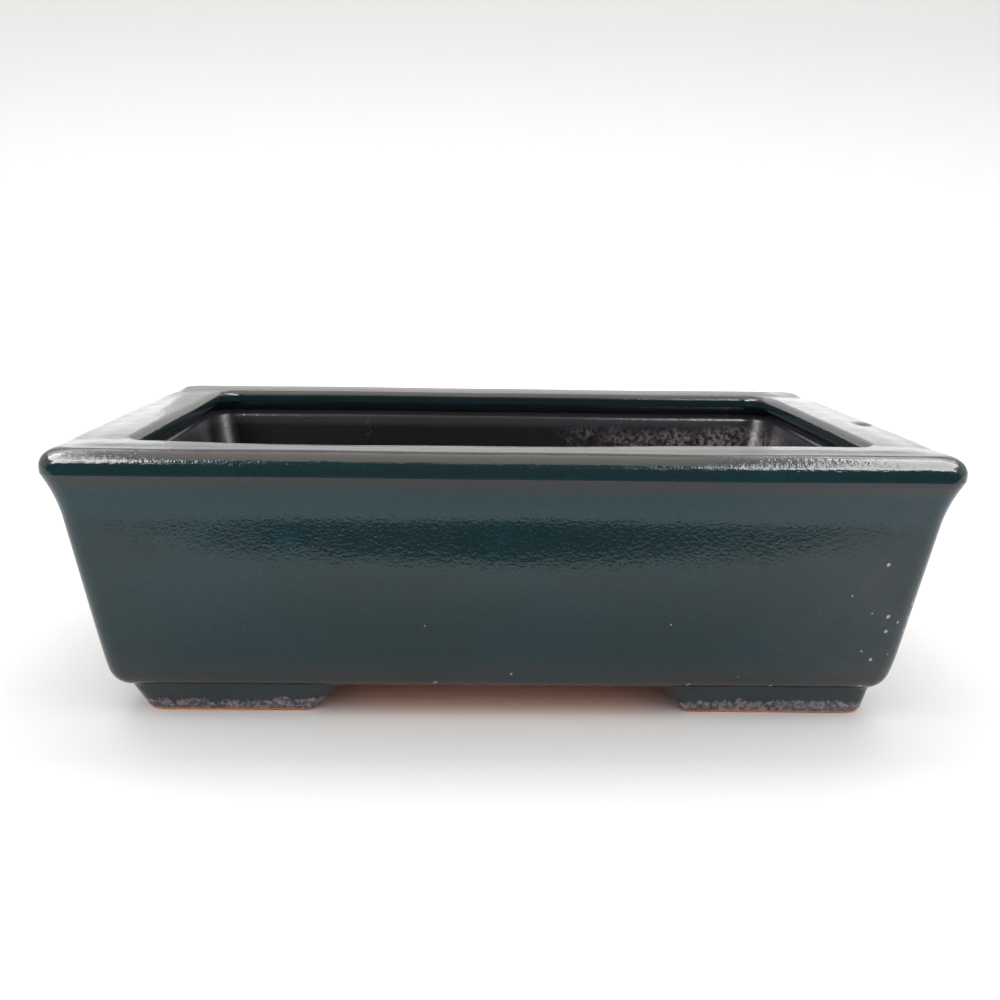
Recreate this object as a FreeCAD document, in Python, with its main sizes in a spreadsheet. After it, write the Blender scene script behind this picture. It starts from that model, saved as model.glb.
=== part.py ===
"""A small rectangular bonsai pot, slab built: four mitred walls round a floor slab with a luting coil
in the inner seam, four mitred rim strips on top and four L-shaped feet beneath.

Millimetres. +Z is up, +X runs along the long side and the pot faces -Y. The origin is on the surface
that the pot stands on, under its centre.
"""

import FreeCAD
import Part
import Sketcher

import os

from FreeCAD import Placement, Rotation, Vector

OUT = "parts"

# alias: (value, what it measures); millimetres, and degrees where the name ends in _angle or _lean
DIMENSIONS = {
    "half_width": (75.0, "half the length over the lip, along X"),
    "half_depth": (60.0, "half the width over the lip, along Y"),
    "total_height": (46.8, "top of the rim above the surface that the pot stands on"),
    "foot_height": (5.2, "underside of the floor above that surface"),
    "lip_radius": (3.2, "rounding of the lip, from its top to its furthest edge"),
    "lip_under_radius": (4.4, "rounding of the lip below its furthest edge"),
    "lip_under_angle": (27.0, "turn of that rounding"),
    "cavetto_radius": (27.7, "hollow curve from the lip to the wall"),
    "wall_lean": (11.2, "lean of the walls from upright"),
    "base_radius": (3.5, "rounding of the bottom edge"),
    "lip_corner": (3.8, "corner radius of the lip, seen from above"),
    "wall_corner": (3.6, "corner radius of the walls, seen from above"),
    "wall_thickness": (8.0, "thickness of a wall, measured level"),
    "inner_corner": (4.0, "corner radius of the inside of the walls"),
    "shoulder_radius": (2.0, "rounding of the walls' top inner edge"),
    "rim_width": (12.5, "the rim from its outer to its inner edge"),
    "rim_corner": (4.5, "corner radius of the rim's inner edge"),
    "rim_face": (3.2, "height of the rim's inner face"),
    "rim_ledge": (1.4, "the rim strip's underside, where it shows inside the walls"),
    "rim_edge_radius": (1.3, "rounding of the rim's top inner edge"),
    "rim_under_radius": (0.8, "rounding of the rim's lower inner edge"),
    "floor_thickness": (5.5, "thickness of the floor slab"),
    "coil_leg": (3.0, "height and width of the luting coil in the inner seam"),
    "drain_diameter": (14.0, "drainage hole"),
    "drain_offset": (29.0, "drainage hole's centre from the middle, along X"),
    "wire_diameter": (4.0, "hole for the tie-down wire"),
    "wire_offset_x": (46.0, "wire hole's centre from the middle, along X"),
    "wire_offset_y": (27.0, "wire hole's centre from the middle, along Y"),
    "foot_inset": (11.7, "outer face of a foot from the lip's furthest edge"),
    "foot_length_x": (35.0, "a foot's arm along the long side"),
    "foot_length_y": (28.0, "a foot's arm along the short side"),
    "foot_breadth": (11.0, "breadth of a foot's arms"),
    "foot_taper_angle": (15.0, "lean of a foot's faces, in towards its sole"),
    "foot_corner": (2.2, "rounding of a foot's upright edges"),
    "foot_edge": (1.2, "rounding of a foot's sole edge"),
    "cutter_margin": (5.0, "how far the cutting shapes run past the pot"),
}

# Expressions that several features share. dims is the spreadsheet.
LEAN = "(dims.wall_lean * 1 deg)"
TURN = "(dims.lip_under_angle * 1 deg)"
EQUATOR = "(dims.total_height - dims.lip_radius)"
SEAM_INSET = f"(dims.lip_under_radius * (1 - cos({TURN})))"
SEAM_LEVEL = f"({EQUATOR} - dims.lip_under_radius * sin({TURN}))"
WALL_INSET = f"({SEAM_INSET} + dims.cavetto_radius * (cos({LEAN}) - cos({TURN})))"
WALL_LEVEL = f"({SEAM_LEVEL} - dims.cavetto_radius * (sin({TURN}) - sin({LEAN})))"
FLOOR_TOP = "(dims.foot_height + dims.floor_thickness)"
COIL_TOP = f"({FLOOR_TOP} + dims.coil_leg)"
RIM_FACE_FOOT = "(dims.total_height - dims.rim_face)"

# How many quarter turns bring the front to each side
SIDES = {"front": 0, "right": 1, "back": 2, "left": 3}
CORNERS = {"front_left": (-1, -1), "front_right": (1, -1), "back_left": (-1, 1), "back_right": (1, 1)}


def wall_line(level):
    """Inset of the wall's straight outer face at a level."""
    return f"({WALL_INSET} + ({WALL_LEVEL} - {level}) * tan({LEAN}))"


def inner_line(level):
    """Inset of the wall's inner face at a level."""
    return f"({wall_line(level)} + dims.wall_thickness)"


def lip_under(share):
    """A section of the lip below its furthest edge; share is 1 at the seam and 0 at that edge."""
    angle = f"({TURN} * {share})"
    inset = f"dims.lip_under_radius * (1 - cos({angle}))"
    level = f"{EQUATOR} - dims.lip_under_radius * sin({angle})"
    return inset, level, f"dims.lip_corner - {inset}"


def lip_over(degrees):
    """A section of the lip above its furthest edge, by the angle that the rounding has turned."""
    inset = f"dims.lip_radius * (1 - cos({degrees} deg))"
    level = f"{EQUATOR} + dims.lip_radius * sin({degrees} deg)"
    return inset, level, f"dims.lip_corner - {inset}"


def cavetto(share):
    """A section of the hollow curve; share is 0 where it leaves the wall and 1 at the seam."""
    angle = f"({LEAN} + ({TURN} - {LEAN}) * {share})"
    inset = f"{SEAM_INSET} + dims.cavetto_radius * (cos({angle}) - cos({TURN}))"
    level = f"{SEAM_LEVEL} - dims.cavetto_radius * (sin({TURN}) - sin({angle}))"
    corner = f"dims.wall_corner + (dims.lip_corner - {SEAM_INSET} - dims.wall_corner) * {share}"
    return inset, level, corner


def coil_face(degrees):
    """A section of the luting coil's hollow face, by the angle that it has turned."""
    lean_in = f"({inner_line(COIL_TOP)} - {inner_line(FLOOR_TOP)}) * {degrees / 90}"
    inset = f"{inner_line(FLOOR_TOP)} + dims.coil_leg * (1 - sin({degrees} deg)) + {lean_in}"
    level = f"{FLOOR_TOP} + dims.coil_leg * (1 - cos({degrees} deg))"
    return inset, level, "dims.inner_corner"


def make_document():
    doc = FreeCAD.newDocument("bonsai_pot")
    sheet = doc.addObject("Spreadsheet::Sheet", "dims")
    for row, (alias, (value, meaning)) in enumerate(DIMENSIONS.items(), start=1):
        sheet.set(f"A{row}", str(value))
        sheet.setAlias(f"A{row}", alias)
        sheet.set(f"B{row}", meaning)
    doc.recompute()
    return doc


def value_of(doc, expression):
    """The number that an expression gives now, so that a sketch is drawn near its final shape."""
    return float(doc.getObject("dims").evalExpression(expression))


def attached_sketch(body, name, level):
    """An empty level sketch on a body's XY plane, raised to a level."""
    sketch = body.newObject("Sketcher::SketchObject", name)
    plane = next(feature for feature in body.Origin.OriginFeatures if feature.Role == "XY_Plane")
    sketch.AttachmentSupport = [(plane, "")]
    sketch.MapMode = "FlatFace"
    sketch.setExpression(".AttachmentOffset.Base.z", level)
    return sketch


def bind(sketch, label, expression, value, kind, *places):
    """A dimension in a sketch, named and bound to the spreadsheet."""
    index = sketch.addConstraint(Sketcher.Constraint(kind, *places, value))
    sketch.renameConstraint(index, label)
    sketch.setExpression(f"Constraints.{label}", expression)


def rounded_rectangle(doc, body, name, inset, level, corner):
    """The pot's outline at one level, drawn in from the lip's furthest edge by an inset."""
    width = f"2 * (dims.half_width - ({inset}))"
    depth = f"2 * (dims.half_depth - ({inset}))"
    x, y, r = value_of(doc, width) / 2, value_of(doc, depth) / 2, value_of(doc, corner)
    sketch = attached_sketch(body, name, level)
    lines = [
        (Vector(r - x, -y, 0), Vector(x - r, -y, 0)),
        (Vector(x, r - y, 0), Vector(x, y - r, 0)),
        (Vector(x - r, y, 0), Vector(r - x, y, 0)),
        (Vector(-x, y - r, 0), Vector(-x, r - y, 0)),
    ]
    centres = [
        Vector(x - r, r - y, 0),
        Vector(x - r, y - r, 0),
        Vector(r - x, y - r, 0),
        Vector(r - x, r - y, 0),
    ]
    for side in range(4):
        turn = Rotation(Vector(0, 0, 1), 90 * side)
        start = centres[side] + turn.multVec(Vector(0, -r, 0))
        middle = centres[side] + turn.multVec(Rotation(Vector(0, 0, 1), 45).multVec(Vector(0, -r, 0)))
        end = centres[side] + turn.multVec(Vector(r, 0, 0))
        sketch.addGeometry(Part.LineSegment(*lines[side]))
        sketch.addGeometry(Part.Arc(start, middle, end))
    for side in range(4):
        line, arc, next_line = 2 * side, 2 * side + 1, (2 * side + 2) % 8
        sketch.addConstraint(Sketcher.Constraint("Tangent", line, 2, arc, 1))
        sketch.addConstraint(Sketcher.Constraint("Tangent", arc, 2, next_line, 1))
        sketch.addConstraint(Sketcher.Constraint("Vertical" if side % 2 else "Horizontal", line))
        if side:
            sketch.addConstraint(Sketcher.Constraint("Equal", 1, arc))
    sketch.addConstraint(Sketcher.Constraint("Symmetric", 0, 1, 4, 1, -1, 1))
    bind(sketch, "across", width, 2 * x, "DistanceX", 6, 1, 2, 1)
    bind(sketch, "along", depth, 2 * y, "DistanceY", 0, 1, 4, 1)
    bind(sketch, "corner", corner, r, "Radius", 1)
    return sketch


def polygon(doc, sketch, corners):
    """A closed outline in a sketch, through corners given as pairs of expressions."""
    points = [Vector(value_of(doc, x), value_of(doc, y), 0) for x, y in corners]
    count = len(points)
    for n, point in enumerate(points):
        sketch.addGeometry(Part.LineSegment(point, points[(n + 1) % count]))
    for n in range(count):
        sketch.addConstraint(Sketcher.Constraint("Coincident", n, 2, (n + 1) % count, 1))
    for n, (x, y) in enumerate(corners):
        bind(sketch, f"corner_{n}_x", x, points[n].x, "DistanceX", -1, 1, n, 1)
        bind(sketch, f"corner_{n}_y", y, points[n].y, "DistanceY", -1, 1, n, 1)
    return sketch


def loft(doc, body, name, sections, kind="Additive", ruled=False):
    """Adds or removes a loft through sections given as (inset, level, corner radius)."""
    sketches = [rounded_rectangle(doc, body, f"{name}_{n}", *section) for n, section in enumerate(sections)]
    feature = body.newObject(f"PartDesign::{kind}Loft", name)
    feature.Profile = sketches[0]
    feature.Sections = [(sketch, [""]) for sketch in sketches[1:]]
    feature.Ruled = ruled
    doc.recompute()
    return feature


def fillet(doc, body, name, radius, wanted):
    """Rounds the edges of a body's tip that wanted picks."""
    base = body.Tip
    names = [f"Edge{n}" for n, edge in enumerate(base.Shape.Edges, start=1) if wanted(edge)]
    feature = body.newObject("PartDesign::Fillet", name)
    feature.Base = (base, names)
    feature.setExpression("Radius", radius)
    doc.recompute()
    return feature


def level_edges(doc, level, inset):
    """Picks the edges that lie at a level and come no nearer to the lip's furthest edge than an inset."""
    height = value_of(doc, level)
    reach_x = value_of(doc, f"dims.half_width - ({inset})")
    reach_y = value_of(doc, f"dims.half_depth - ({inset})")
    slack = 0.05

    def wanted(edge):
        box = edge.BoundBox
        is_level = abs(box.ZMin - height) < slack and abs(box.ZMax - height) < slack
        within_x = max(box.XMax, -box.XMin) < reach_x + slack
        within_y = max(box.YMax, -box.YMin) < reach_y + slack
        return is_level and within_x and within_y

    return wanted


def make_wall_ring(doc):
    """The four walls as one ring: leaning faces, a rounded bottom edge and a hollow curve on top."""
    body = doc.addObject("PartDesign::Body", "wall_ring")
    foot = (wall_line("dims.foot_height"), "dims.foot_height", "dims.wall_corner")
    floor_edge = (inner_line(FLOOR_TOP), "dims.foot_height", "dims.inner_corner")
    floor_top = (inner_line(FLOOR_TOP), FLOOR_TOP, "dims.inner_corner")
    inner_top = (inner_line(SEAM_LEVEL), SEAM_LEVEL, "dims.inner_corner")
    loft(doc, body, "wall_faces", [foot, cavetto(0)], ruled=True)
    fillet(doc, body, "bottom_edge", "dims.base_radius", level_edges(doc, "dims.foot_height", "0"))
    loft(doc, body, "hollow_curve", [cavetto(share) for share in (0, 0.33, 0.67, 1)])
    loft(doc, body, "floor_seat", [floor_edge, floor_top], "Subtractive", ruled=True)
    loft(doc, body, "inner_faces", [floor_top, inner_top], "Subtractive", ruled=True)
    shoulder = level_edges(doc, SEAM_LEVEL, inner_line(SEAM_LEVEL))
    fillet(doc, body, "shoulder", "dims.shoulder_radius", shoulder)
    return body


def make_rim_ring(doc):
    """The rim as one ring: a rounded lip outside, a flat top and a face that overhangs the walls inside."""
    body = doc.addObject("PartDesign::Body", "rim_ring")
    ledge = (f"{inner_line(SEAM_LEVEL)} - dims.rim_ledge", SEAM_LEVEL, "dims.rim_corner")
    face_foot = ("dims.rim_width", RIM_FACE_FOOT, "dims.rim_corner")
    face_top = ("dims.rim_width", "dims.total_height", "dims.rim_corner")
    loft(doc, body, "lip_under", [lip_under(share) for share in (1, 0.5, 0)])
    loft(doc, body, "lip_over", [lip_over(degrees) for degrees in (0, 22.5, 45, 67.5, 90)])
    loft(doc, body, "rim_underside", [ledge, face_foot], "Subtractive", ruled=True)
    loft(doc, body, "rim_opening", [face_foot, face_top], "Subtractive", ruled=True)
    top_edges = level_edges(doc, "dims.total_height", "dims.rim_width")
    fillet(doc, body, "top_inner_edge", "dims.rim_edge_radius", top_edges)
    low_edges = level_edges(doc, RIM_FACE_FOOT, "dims.rim_width")
    fillet(doc, body, "low_inner_edge", "dims.rim_under_radius", low_edges)
    return body


def mitre_wedge(doc, name, quarter_turns):
    """An upright prism that holds one side of the pot, up to the mitre planes at its two corners."""
    long_side = quarter_turns % 2 == 0
    along, across = ("half_width", "half_depth") if long_side else ("half_depth", "half_width")
    reach = f"(dims.{along} + dims.cutter_margin)"
    depth = f"(dims.{across} + dims.cutter_margin)"
    if long_side:
        ridge = "(dims.half_width - dims.half_depth)"
        inner_corners = [(ridge, "0"), (f"-{ridge}", "0")]
    else:
        inner_corners = [("0", "-(dims.half_width - dims.half_depth)")]
    body = doc.addObject("PartDesign::Body", name)
    corners = [(f"-{reach}", f"-{depth}"), (reach, f"-{depth}")] + inner_corners
    outline = polygon(doc, attached_sketch(body, f"{name}_outline", "0"), corners)
    pad = body.newObject("PartDesign::Pad", f"{name}_pad")
    pad.Profile = outline
    pad.setExpression("Length", "dims.total_height + dims.cutter_margin")
    body.Placement = Placement(Vector(), Rotation(Vector(0, 0, 1), 90 * quarter_turns))
    return body


def mitred_sides(doc, ring, stem):
    """The four mitred sides of a ring, each a sub-part of its own."""
    sides = []
    for side, quarter_turns in SIDES.items():
        part = doc.addObject("Part::MultiCommon", f"{stem}_{side}")
        part.Shapes = [ring, mitre_wedge(doc, f"{stem}_{side}_wedge", quarter_turns)]
        part.Label = f"{stem}_{side}"
        sides.append(part)
    return sides


def drill(doc, body, name, diameter, centres):
    """Round holes right through the floor slab, at centres given as pairs of expressions."""
    sketch = attached_sketch(body, f"{name}_centres", "dims.foot_height")
    bore = value_of(doc, diameter)
    for n, (x, y) in enumerate(centres):
        centre = Vector(value_of(doc, x), value_of(doc, y), 0)
        sketch.addGeometry(Part.Circle(centre, Vector(0, 0, 1), bore / 2))
        bind(sketch, f"centre_{n}_x", x, centre.x, "DistanceX", -1, 1, n, 3)
        bind(sketch, f"centre_{n}_y", y, centre.y, "DistanceY", -1, 1, n, 3)
        bind(sketch, f"bore_{n}", diameter, bore, "Diameter", n)
    pocket = body.newObject("PartDesign::Pocket", name)
    pocket.Profile = sketch
    pocket.Reversed = True
    pocket.setExpression("Length", "dims.floor_thickness")
    doc.recompute()


def make_floor(doc):
    """The floor slab, which the walls stand round, with its drainage and wire holes."""
    body = doc.addObject("PartDesign::Body", "floor_slab")
    outline = rounded_rectangle(
        doc, body, "floor_outline", inner_line(FLOOR_TOP), "dims.foot_height", "dims.inner_corner"
    )
    pad = body.newObject("PartDesign::Pad", "slab")
    pad.Profile = outline
    pad.setExpression("Length", "dims.floor_thickness")
    doc.recompute()
    drain, x, y = "dims.drain_offset", "dims.wire_offset_x", "dims.wire_offset_y"
    drill(doc, body, "drain_holes", "dims.drain_diameter", [(f"-{drain}", "0"), (drain, "0")])
    corners = [(f"{sx} * {x}", f"{sy} * {y}") for sx, sy in CORNERS.values()]
    drill(doc, body, "wire_holes", "dims.wire_diameter", corners)
    return body


def make_coil(doc):
    """The luting coil, pressed into the seam between the floor and the walls and smoothed hollow."""
    body = doc.addObject("PartDesign::Body", "luting_coil")
    corner = "dims.inner_corner"
    outside = [(inner_line(FLOOR_TOP), FLOOR_TOP, corner), (inner_line(COIL_TOP), COIL_TOP, corner)]
    loft(doc, body, "coil_outside", outside, ruled=True)
    hollow = [coil_face(degrees) for degrees in (0, 22.5, 45, 67.5, 90)]
    loft(doc, body, "coil_hollow", hollow, "Subtractive", ruled=True)
    return body


def make_foot(doc, name, signs):
    """An L-shaped foot under one corner, narrowing towards its sole."""
    body = doc.addObject("PartDesign::Body", name)
    outer_x = "(dims.half_width - dims.foot_inset)"
    outer_y = "(dims.half_depth - dims.foot_inset)"
    inner_x = f"({outer_x} - dims.foot_breadth)"
    inner_y = f"({outer_y} - dims.foot_breadth)"
    end_x = f"({outer_x} - dims.foot_length_x)"
    end_y = f"({outer_y} - dims.foot_length_y)"
    corners = [
        (outer_x, outer_y),
        (end_x, outer_y),
        (end_x, inner_y),
        (inner_x, inner_y),
        (inner_x, end_y),
        (outer_x, end_y),
    ]
    placed = [(f"{signs[0]} * {x}", f"{signs[1]} * {y}") for x, y in corners]
    pad = body.newObject("PartDesign::Pad", f"{name}_block")
    pad.Profile = polygon(doc, attached_sketch(body, f"{name}_outline", "dims.foot_height"), placed)
    pad.Reversed = True
    pad.setExpression("Length", "dims.foot_height")
    pad.setExpression("TaperAngle", "-dims.foot_taper_angle")
    doc.recompute()
    tall = value_of(doc, "dims.foot_height") / 2
    fillet(doc, body, f"{name}_corners", "dims.foot_corner", lambda edge: edge.BoundBox.ZLength > tall)
    fillet(doc, body, f"{name}_sole_edge", "dims.foot_edge", level_edges(doc, "0", "0"))
    return body


def check(doc, parts):
    """Stops if an object failed to compute or a sub-part isn't one sound solid."""
    for obj in doc.Objects:
        if {"Invalid", "Error"} & set(obj.State):
            raise RuntimeError(f"{obj.Name} did not compute: {obj.State}")
    for part in parts:
        shape = part.Shape
        if shape.isNull() or not shape.isValid() or len(shape.Solids) != 1:
            raise RuntimeError(f"{part.Label} is not one sound solid")


def main():
    doc = make_document()
    parts = [make_floor(doc), make_coil(doc)]
    parts += mitred_sides(doc, make_wall_ring(doc), "wall")
    parts += mitred_sides(doc, make_rim_ring(doc), "rim")
    parts += [make_foot(doc, f"foot_{corner}", signs) for corner, signs in CORNERS.items()]
    doc.recompute()
    check(doc, parts)
    os.makedirs(OUT, exist_ok=True)
    for part in parts:
        part.Shape.exportStep(os.path.join(OUT, f"{part.Label}.step"))
        print(f"{part.Label}: {part.Shape.Volume / 1000:.2f} cm3")


main()
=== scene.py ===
import math

import bpy
import numpy as np
from mathutils import Matrix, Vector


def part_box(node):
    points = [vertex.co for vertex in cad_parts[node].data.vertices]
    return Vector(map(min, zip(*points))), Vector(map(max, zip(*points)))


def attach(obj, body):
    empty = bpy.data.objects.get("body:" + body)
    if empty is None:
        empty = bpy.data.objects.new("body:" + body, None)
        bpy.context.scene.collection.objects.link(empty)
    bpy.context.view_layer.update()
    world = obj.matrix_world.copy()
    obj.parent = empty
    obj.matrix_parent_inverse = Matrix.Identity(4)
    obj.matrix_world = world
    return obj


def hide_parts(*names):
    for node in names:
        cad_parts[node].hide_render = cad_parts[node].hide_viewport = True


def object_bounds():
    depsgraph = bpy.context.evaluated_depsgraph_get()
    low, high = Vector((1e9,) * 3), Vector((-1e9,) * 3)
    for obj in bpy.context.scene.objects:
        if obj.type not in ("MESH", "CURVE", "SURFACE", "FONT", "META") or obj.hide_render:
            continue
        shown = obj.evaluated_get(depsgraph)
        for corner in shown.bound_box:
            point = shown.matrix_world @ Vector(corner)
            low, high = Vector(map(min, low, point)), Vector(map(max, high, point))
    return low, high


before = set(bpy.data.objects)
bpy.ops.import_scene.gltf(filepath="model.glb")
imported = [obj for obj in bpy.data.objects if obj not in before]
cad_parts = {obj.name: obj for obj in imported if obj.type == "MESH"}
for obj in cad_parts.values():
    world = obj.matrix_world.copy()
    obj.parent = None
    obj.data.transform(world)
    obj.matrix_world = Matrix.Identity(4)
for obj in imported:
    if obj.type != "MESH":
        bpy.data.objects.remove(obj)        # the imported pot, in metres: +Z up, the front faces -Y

CAD_LOW, CAD_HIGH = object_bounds()
MM = 0.001

# ---------------------------------------------------------------------------------------------------
# Sizes in millimetres, from the frame where it has them
# ---------------------------------------------------------------------------------------------------
HALF_WIDTH = CAD_HIGH.x / MM
HALF_DEPTH = CAD_HIGH.y / MM
HEIGHT = CAD_HIGH.z / MM
FOOT_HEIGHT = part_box("floor_slab")[0].z / MM
FLOOR_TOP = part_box("floor_slab")[1].z / MM
FLOOR_INSET = HALF_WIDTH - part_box("floor_slab")[1].x / MM
COIL_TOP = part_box("luting_coil")[1].z / MM
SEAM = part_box("rim_front")[0].z / MM

# The walls, from the hollow curve under the lip to the rounded bottom edge
WALL_LEAN = math.radians(11.2)
WALL_THICKNESS = 8.0
WALL_CORNER = 3.6
INNER_CORNER = 4.0
SHOULDER_RADIUS = 2.0
CAVETTO_RADIUS = 27.7
CAVETTO_ANGLE = math.radians(27.0)
BASE_RADIUS = 3.5
BASE_CORNER_LOSS = 0.8

# The rim: the lip's nose, the larger curve below it that ends in a crease, the crowned top and the inner face
LIP_RADIUS = 3.2
LIP_UNDER_RADIUS = 7.0
LIP_CREASE_DROP = 1.15
LIP_CORNER = 3.8
SEAM_INSET = 0.48
RIM_WIDTH = 12.6
RIM_CORNER = 4.5
RIM_FACE = 3.2
RIM_LEDGE = 1.4
RIM_EDGE_RADIUS = 1.4
RIM_UNDER_RADIUS = 0.8
RIM_CROWN = 0.25
CROWN_REACH = 1.6

# The walls' bulge: its height, the level where it is greatest, how far it reaches below and above that level,
# and how it falls off along the wall
BELLY = 0.95
BELLY_LEVEL = 24.0
BELLY_REACH = (17.0, 14.0)
BELLY_FALL = 0.9

# The slow and the quick waves of hand work, and how far the pot is drawn in to make room for them
SLOW_WAVE = 0.09
QUICK_WAVE = 0.05
DRAWN_IN = 0.14
TOP_SLOW_WAVE = 0.05
TOP_QUICK_WAVE = 0.03
TOP_DRAWN_DOWN = 0.08
# How far the bottom edge is pulled in at the right end and at the left end
RIGHT_PULL = 0.9
LEFT_PULL = 0.5

# The sag of the rim: the front strip's own and its two dips (middle, reach, depth), the back strip's, how far
# a sag reaches past the strip, and how much wider the front strip is towards its ends
FRONT_SAG = 0.18
FRONT_DIPS = ((-33, 18, 0.42), (4, 20, 0.34))
BACK_SAG = 0.65
SAG_REACH = 18
FRONT_WIDENING = 1.6
# The small pit near the right strip's outer edge: its middle, its reach in X and Y and its depth
PIT = (70.5, -11.5)
PIT_REACH = (1.7, 2.4)
PIT_DEPTH = 0.6

# The feet: the lean of their faces, the rounding of the sole's edge and of the upright edges
FOOT_INSET = 11.7
FOOT_LENGTH_Y = 28.0
FOOT_BREADTH = 11.0
FOOT_DRAFT = math.radians(12)
FOOT_ARM_LEAN = 0.55
FOOT_EDGE = 1.1
FOOT_END_ROLL = 1.3
FOOT_OUTER_ROUND = 3.2
FOOT_END_ROUND = 2.4
FOOT_INNER_ROUND = 2.0
FOOT_WAVE = 0.18
# Below the top of a foot, how far its faces still flare out to meet the floor
FOOT_FLARE = ((0.0, 0.7), (0.3, 0.25), (0.8, 0.0))

# How many quarter turns bring the front to each side
SIDES = {"front": 0, "right": 1, "back": 2, "left": 3}
CORNERS = {"front_left": (-1, -1), "front_right": (1, -1), "back_left": (-1, 1), "back_right": (1, 1)}
# The inset of each foot's outer end, the length of its long arm, and how far that end leans in
FEET = {
    "front_left": (11.8, 34.8, 0.4),
    "front_right": (10.9, 36.0, 0.12),
    "back_left": (11.5, 35.0, 0.4),
    "back_right": (11.7, 34.6, 0.5),
}

# How finely the outline is divided, and how near two points are before they count as one
ARC_STEPS = 10
LONG_SIDE_STEPS = 90
SHORT_SIDE_STEPS = 72
SAME_PLACE = 1e-6


# ---------------------------------------------------------------------------------------------------
# Sections: a section is a list of runs, and a run is a list of rows (inset, level, corner radius).
# Inset is measured in from the lip's furthest edge. Shading is smooth along a run and breaks between runs.
# ---------------------------------------------------------------------------------------------------
WALL_INSET = SEAM_INSET + CAVETTO_RADIUS * (math.cos(WALL_LEAN) - math.cos(CAVETTO_ANGLE))
WALL_LEVEL = SEAM - CAVETTO_RADIUS * (math.sin(CAVETTO_ANGLE) - math.sin(WALL_LEAN))
EQUATOR = HEIGHT - LIP_RADIUS
CREASE = EQUATOR - LIP_CREASE_DROP
FACE_FOOT = HEIGHT - RIM_FACE


def wall_line(level):
    """Inset of the wall's straight outer face at a level."""
    return WALL_INSET + (WALL_LEVEL - level) * math.tan(WALL_LEAN)


def inner_line(level):
    """Inset of the wall's inner face at a level."""
    return wall_line(level) + WALL_THICKNESS


def turn(start, end, count):
    """Angles in radians from start to end, both given in degrees."""
    return np.radians(np.linspace(start, end, count))


def straight(start, end, count):
    """Evenly spaced rows from one row to another."""
    return [tuple(row) for row in np.linspace(start, end, count)]


def lip_rows():
    """The lip from the crease up its lower curve and round its nose."""
    rows = []
    crease_angle = math.asin(LIP_CREASE_DROP / LIP_UNDER_RADIUS)
    for a in np.linspace(crease_angle, 0, 5):
        inset = LIP_UNDER_RADIUS * (1 - math.cos(a))
        rows.append((inset, EQUATOR - LIP_UNDER_RADIUS * math.sin(a), LIP_CORNER))
    for a in turn(0, 88, 16)[1:]:
        level = EQUATOR + LIP_RADIUS * math.sin(a) - RIM_CROWN * math.sin(a) ** 2
        rows.append((LIP_RADIUS * (1 - math.cos(a)), level, LIP_CORNER))
    return rows


def rim_top_rows():
    """The crowned top of the rim, from the lip to its inner edge."""
    rows = []
    for share in np.linspace(0, 1, 12)[1:-1]:
        inset = LIP_RADIUS + (RIM_WIDTH - RIM_EDGE_RADIUS - LIP_RADIUS) * share
        crown = RIM_CROWN * math.sin(math.pi / 2 * min(1, CROWN_REACH * share)) ** 2
        rows.append((inset, HEIGHT - RIM_CROWN + crown, LIP_CORNER + (RIM_CORNER - LIP_CORNER) * share))
    return rows


def rim_face_rows():
    """The rim's rounded inner edge, its inner face and the rounding below that."""
    rows = []
    for a in turn(0, 90, 8):
        inset = RIM_WIDTH - RIM_EDGE_RADIUS * (1 - math.sin(a))
        rows.append((inset, HEIGHT - RIM_EDGE_RADIUS * (1 - math.cos(a)), RIM_CORNER))
    for a in turn(0, 75, 6):
        inset = RIM_WIDTH - RIM_UNDER_RADIUS * (1 - math.cos(a))
        rows.append((inset, FACE_FOOT + RIM_UNDER_RADIUS * (1 - math.sin(a)), RIM_CORNER))
    return rows


def rim_section():
    """The rim: from the seam to the crease, round the lip, across the top, down inside and back under it."""
    lip = lip_rows()
    ledge = (inner_line(SEAM) - RIM_LEDGE, SEAM, RIM_CORNER)
    seam_outer = (SEAM_INSET, SEAM, LIP_CORNER)
    return [
        straight(seam_outer, lip[0], 3),
        lip + rim_top_rows() + rim_face_rows() + [ledge],
        [ledge, seam_outer],
    ]


def wall_outside():
    """A wall's outer rows: the hollow curve under the rim, the straight face and the rounded bottom edge."""
    rows = []
    for share in np.linspace(1, 0, 10):
        a = WALL_LEAN + (CAVETTO_ANGLE - WALL_LEAN) * share
        inset = SEAM_INSET + CAVETTO_RADIUS * (math.cos(a) - math.cos(CAVETTO_ANGLE))
        level = SEAM - CAVETTO_RADIUS * (math.sin(CAVETTO_ANGLE) - math.sin(a))
        rows.append((inset, level, WALL_CORNER + (LIP_CORNER - WALL_CORNER) * share))
    base_level = FOOT_HEIGHT + BASE_RADIUS * (1 - math.sin(WALL_LEAN))
    base_inset = wall_line(base_level)
    rows += straight(rows[-1], (base_inset, base_level, WALL_CORNER), 26)[1:]
    for a in np.linspace(WALL_LEAN, math.pi / 2, 12)[1:]:
        turned_in = BASE_RADIUS * (math.cos(WALL_LEAN) - math.cos(a))
        level = FOOT_HEIGHT + BASE_RADIUS * (1 - math.sin(a))
        rows.append((base_inset + turned_in, level, WALL_CORNER - BASE_CORNER_LOSS * turned_in))
    return rows


def wall_inside():
    """A wall's inner rows: the straight face up from the floor and the rounded shoulder under the rim."""
    level = SEAM - SHOULDER_RADIUS
    inset = inner_line(level)
    rows = straight((FLOOR_INSET, FLOOR_TOP, INNER_CORNER), (inset, level, INNER_CORNER), 14)
    for a in turn(0, 90, 8)[1:]:
        turned_in = SHOULDER_RADIUS * (1 - math.cos(a))
        rows.append((inset - turned_in, level + SHOULDER_RADIUS * math.sin(a), INNER_CORNER))
    return rows


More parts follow.
